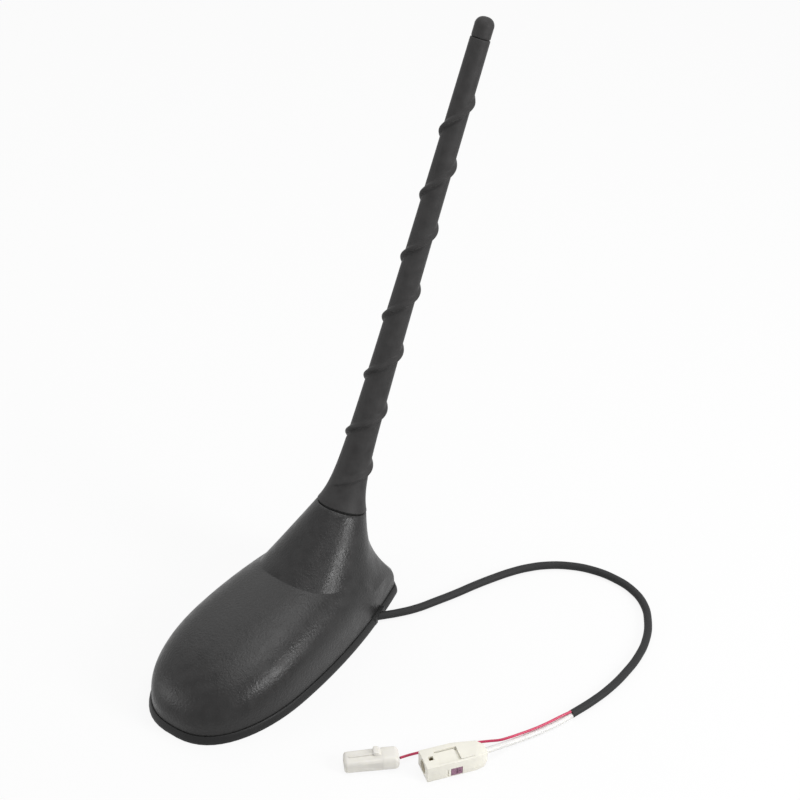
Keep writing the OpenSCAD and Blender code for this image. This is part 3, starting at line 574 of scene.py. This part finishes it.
def ridge_at(z, a):
    """Height of the ridge above the mast at height z and angle a."""
    height = groove = 0.0
    base_turn = (a - math.radians(ridge_phase)) / (2 * math.pi)
    base_turn -= math.floor(base_turn)
    for k in range(-1, 8):
        n = base_turn + k
        if not ridge_first <= n <= ridge_last:
            continue
        ends = min(1, (n - ridge_first) / 0.2, (ridge_last - n) / 0.2)
        off = z - ridge_z(n)
        if 0 <= off < ridge_above:
            height = max(height, ends * ridge_h * (0.5 + 0.5 * math.cos(math.pi * off / ridge_above)) ** 0.85)
        elif -ridge_below < off < 0:
            height = max(height, ends * ridge_h * (1 - (off / ridge_below) ** 2) ** 0.5)
        aside = off + groove_mid
        if abs(aside) < groove_half:
            groove = max(groove, ends * groove_depth * (0.5 + 0.5 * math.cos(math.pi * aside / groove_half)))
    return height or -groove


def on_mast(x, y, z):
    """A point given on the mast's own axes, with z along it from the seam."""
    side = Vector((math.cos(rake), 0, -math.sin(rake)))
    return seam + side * x + Vector((0, y, 0)) + mast_dir * z


def mast_rings():
    """Rings from the stud's bore over the foot, up the ridged mast and into the rod's bore under the cap."""
    around = 72
    turns = [2 * math.pi * i / around for i in range(around)]

    def ring(z, r, ridged=False):
        reaches = [r + (ridge_at(z, a) if ridged else 0) for a in turns]
        return [on_mast(reach * math.cos(a), reach * math.sin(a), z) for reach, a in zip(reaches, turns)]

    foot = ring_t + 0.03
    rings = [ring(stud_bore, stud_seat), ring(foot, stud_seat),
             ring(foot, mast_r(foot) - 0.45), ring(foot + 0.12, mast_r(foot) - 0.12)]
    z, top = ring_t + 0.45, mast_len - cap_len
    while z < top - 0.5:
        rings.append(ring(z, mast_r(z), True))
        z += ring_step if z < plain_from else plain_step
    rings += [ring(top - 0.5, mast_r(top)), ring(top - 0.12, mast_r(top) - 0.12), ring(top, mast_r(top) - 0.5),
              ring(top, rod_bore), ring(top - 1, rod_bore)]
    return rings


mast = rolled_sheet("ridged_mast", mast_rings())
smooth(mast, 60)
stand_for(mast, mast_black, "mast", "mast_rubber", "mast_sleeve")


def cap_rings():
    """Rings from the cap's neck in the mast, up its wall and over its rounded end."""
    turns = [2 * math.pi * i / 72 for i in range(72)]
    neck_r, neck_len, round_h, wall_steps, round_steps = 2.5, 2.2, 4.2, 5, 18
    base_z = mast_len - cap_len + 0.2
    wall_z, wall_r, round_z = base_z + 0.45, tip_r - 0.08, mast_len - round_h
    profile = [(neck_r, base_z - neck_len), (neck_r, base_z), (tip_r - 0.6, base_z),
               (tip_r - 0.2, base_z + 0.12), (wall_r, wall_z)]
    for i in range(1, wall_steps + 1):
        profile.append((wall_r + 0.03 * i / wall_steps, wall_z + (round_z - wall_z) * i / wall_steps))
    for i in range(1, round_steps):
        a = math.pi / 2 * i / round_steps
        profile.append((tip_r * math.cos(a) ** 0.8, round_z + round_h * math.sin(a)))
    return [[on_mast(r * math.cos(a), r * math.sin(a), z) for a in turns] for r, z in profile]


cap = rolled_sheet("rounded_cap", cap_rings())
smooth(cap, 60)
stand_for(cap, mast_black, "mast", "mast_rubber", "mast_tip_cap")


# ---------------------------------------------------------------- connectors
def block(name, low, high):
    """A cube primitive stretched between two corners, in millimetres."""
    bpy.ops.object.select_all(action="DESELECT")
    bpy.ops.mesh.primitive_cube_add(size=1, location=(0, 0, 0))
    obj = bpy.context.object
    obj.name = name
    low, high = Vector(low), Vector(high)
    for v in obj.data.vertices:
        v.co = Vector([low[i] + (v.co[i] + 0.5) * (high[i] - low[i]) for i in range(3)]) * MM
    return obj


def slice_off(obj, point, normal):
    """Cut away what lies beyond a plane and close the cut."""
    only(obj)
    bpy.ops.object.mode_set(mode="EDIT")
    bpy.ops.mesh.select_all(action="SELECT")
    bpy.ops.mesh.bisect(plane_co=Vector(point) * MM, plane_no=normal, use_fill=True, clear_outer=True)
    bpy.ops.object.mode_set(mode="OBJECT")


def carve(obj, tool, operation="DIFFERENCE"):
    """Cut a tool out of a piece, or join it on, and throw the tool away."""
    cut = obj.modifiers.new("carve", "BOOLEAN")
    cut.operation = operation
    cut.solver = "EXACT"
    cut.object = tool
    only(obj)
    bpy.ops.object.modifier_apply(modifier="carve")
    bpy.data.objects.remove(tool, do_unlink=True)


def round_bar(name, x0, x1, y, z, r):
    """A cylinder primitive laid along x, in millimetres."""
    bpy.ops.object.select_all(action="DESELECT")
    bpy.ops.mesh.primitive_cylinder_add(vertices=48, radius=r * MM, depth=(x1 - x0) * MM, location=(0, 0, 0))
    obj = bpy.context.object
    obj.name = name
    obj.data.transform(Matrix.Translation(Vector(((x0 + x1) / 2, y, z)) * MM) @ Matrix.Rotation(math.pi / 2, 4, "Y"))
    return obj


def lay_down(obj, place, heading):
    """Move a piece from its own axes to where it lies."""
    turned = Matrix.Rotation(math.radians(heading), 4, "Z")
    obj.data.transform(Matrix.Translation(Vector((place[0], place[1], 0)) * MM) @ turned)
    smooth(obj, 40)


conn_len, conn_w, conn_h = 29.0, 12.0, 8.2
conn_place, conn_heading = (-23.4, -102.7), -33
plug_place, plug_heading = (-41.6, -73.9), -45
connector = block("cream_connector", (0, -conn_w / 2, 0), (conn_len, conn_w / 2, conn_h))
slice_off(connector, (23, -6, 0), (0.26, -0.966, 0))
slice_off(connector, (27, -4.9, 0), (0.6, -0.8, 0))
slice_off(connector, (15, 6, 0), (0.2, 0.98, 0))
slice_off(connector, (25.5, 3.9, 0), (0.6, 0.8, 0))
slice_off(connector, (26, 0, conn_h), (0.35, 0, 0.937))
slice_off(connector, (28.2, 0, 1.4), (0.7, 0, -0.714))
soften(connector, 0.55, 3)
for tool in (round_bar("mating_bore", -1, 9.5, 0, conn_h / 2, 3.1),
             round_bar("contact_bore", 9, 30, 0, conn_h / 2, 2.3),
             block("latch_window", (5.9, -5, conn_h - 0.8), (16.3, 3.2, conn_h + 1)),
             block("latch_step", (15.2, -4.4, conn_h - 1.3), (16.3, 2.6, conn_h + 1)),
             block("far_line", (5.9, 2.85, conn_h - 2.0), (16.3, 3.2, conn_h + 1)),
             block("near_line", (5.9, -5, conn_h - 2.0), (16.3, -4.65, conn_h + 1)),
             block("latch_eye", (2.5, -1.5, conn_h - 2.6), (4.7, 0.9, conn_h + 1)),
             block("side_slit", (9.5, -7, 0.7), (9.9, -5.6, 4.4)),
             block("edge_line", (16.3, -5, conn_h - 0.5), (22.5, -4.75, conn_h + 1)),
             block("lock_pocket", (10.95, -7, 0.45), (16.45, -2.85, 4.65))):
    carve(connector, tool)
soften(connector, 0.12, 1, 50)
lay_down(connector, conn_place, conn_heading)
stand_for(connector, cream_nylon, "base", "cream_nylon", "coax_connector_housing")

lock = block("plum_lock", (11.1, -6, 0.6), (16.3, -3, 4.5))
carve(lock, block("lock_groove", (13.4, -7, 1.3), (14.0, -5.6, 3.8)))
carve(lock, block("lock_cross", (12.0, -7, 2.3), (15.4, -5.7, 2.7)))
soften(lock, 0.15, 2)
lay_down(lock, conn_place, conn_heading)
stand_for(lock, plum_nylon, "contact_lock", "plum_nylon", "contact_lock")

plug = block("milky_plug", (-0.8, -4.4, 0), (17.5, 4.4, 7.4))
slice_off(plug, (-0.8, 0, 5.9), (-0.055, 0, 0.998))
soften(plug, 1.5, 5)
rear = block("plug_rear", (14.6, -4.7, 0), (23.6, 4.7, 7.1))
soften(rear, 2.2, 6)
carve(plug, rear, "UNION")
rib = block("plug_rib", (1.4, -0.6, 5.4), (13.5, 0.5, 7.5))
slice_off(rib, (1.4, 0, 6.6), (-0.07, 0, 0.998))
soften(rib, 0.4, 3)
carve(plug, rib, "UNION")
latch = block("plug_latch", (12.4, -1.2, 5.2), (15.9, 3.4, 8.4))
slice_off(latch, (14.6, 0, 8.4), (0.75, 0, 0.66))
soften(latch, 0.5, 3)
carve(plug, latch, "UNION")
carve(plug, block("plug_mouth", (-2, -2.8, 1.1), (13, 2.8, 4.3)))
carve(plug, round_bar("lead_bore", 12, 25, 0, 2.7, 1.1))
soften(plug, 0.15, 1, 50)
lay_down(plug, plug_place, plug_heading)
stand_for(plug, milk_nylon, "base", "white_nylon", "power_plug_housing")


# ---------------------------------------------------------------- floor
floor_width, floor_below, floor_glow_share = 8, 0.1 * MM, 0.88
bpy.ops.object.select_all(action="DESELECT")
bpy.ops.mesh.primitive_plane_add(size=floor_width, location=(0, 0, -floor_below))
floor = bpy.context.object
floor.name = "pale_floor"
floor_finish = bpy.data.materials.new("pale_floor")
floor_finish.use_nodes = True
net = floor_finish.node_tree
net.nodes.clear()
out = net.nodes.new("ShaderNodeOutputMaterial")
matt = net.nodes.new("ShaderNodeBsdfDiffuse")
matt.inputs["Color"].default_value = (0.82, 0.82, 0.82, 1)
glow = net.nodes.new("ShaderNodeEmission")
glow.inputs["Color"].default_value = (1, 1, 1, 1)
glow.inputs["Strength"].default_value = 1.0
share = net.nodes.new("ShaderNodeMath")
share.operation = "MULTIPLY"
share.inputs[1].default_value = floor_glow_share
cover = net.nodes.new("ShaderNodeMixShader")
net.links.new(looked_at(net), share.inputs[0])
net.links.new(share.outputs[0], cover.inputs[0])
net.links.new(matt.outputs[0], cover.inputs[1])
net.links.new(glow.outputs[0], cover.inputs[2])
net.links.new(cover.outputs[0], out.inputs[0])
paint(floor, floor_finish)
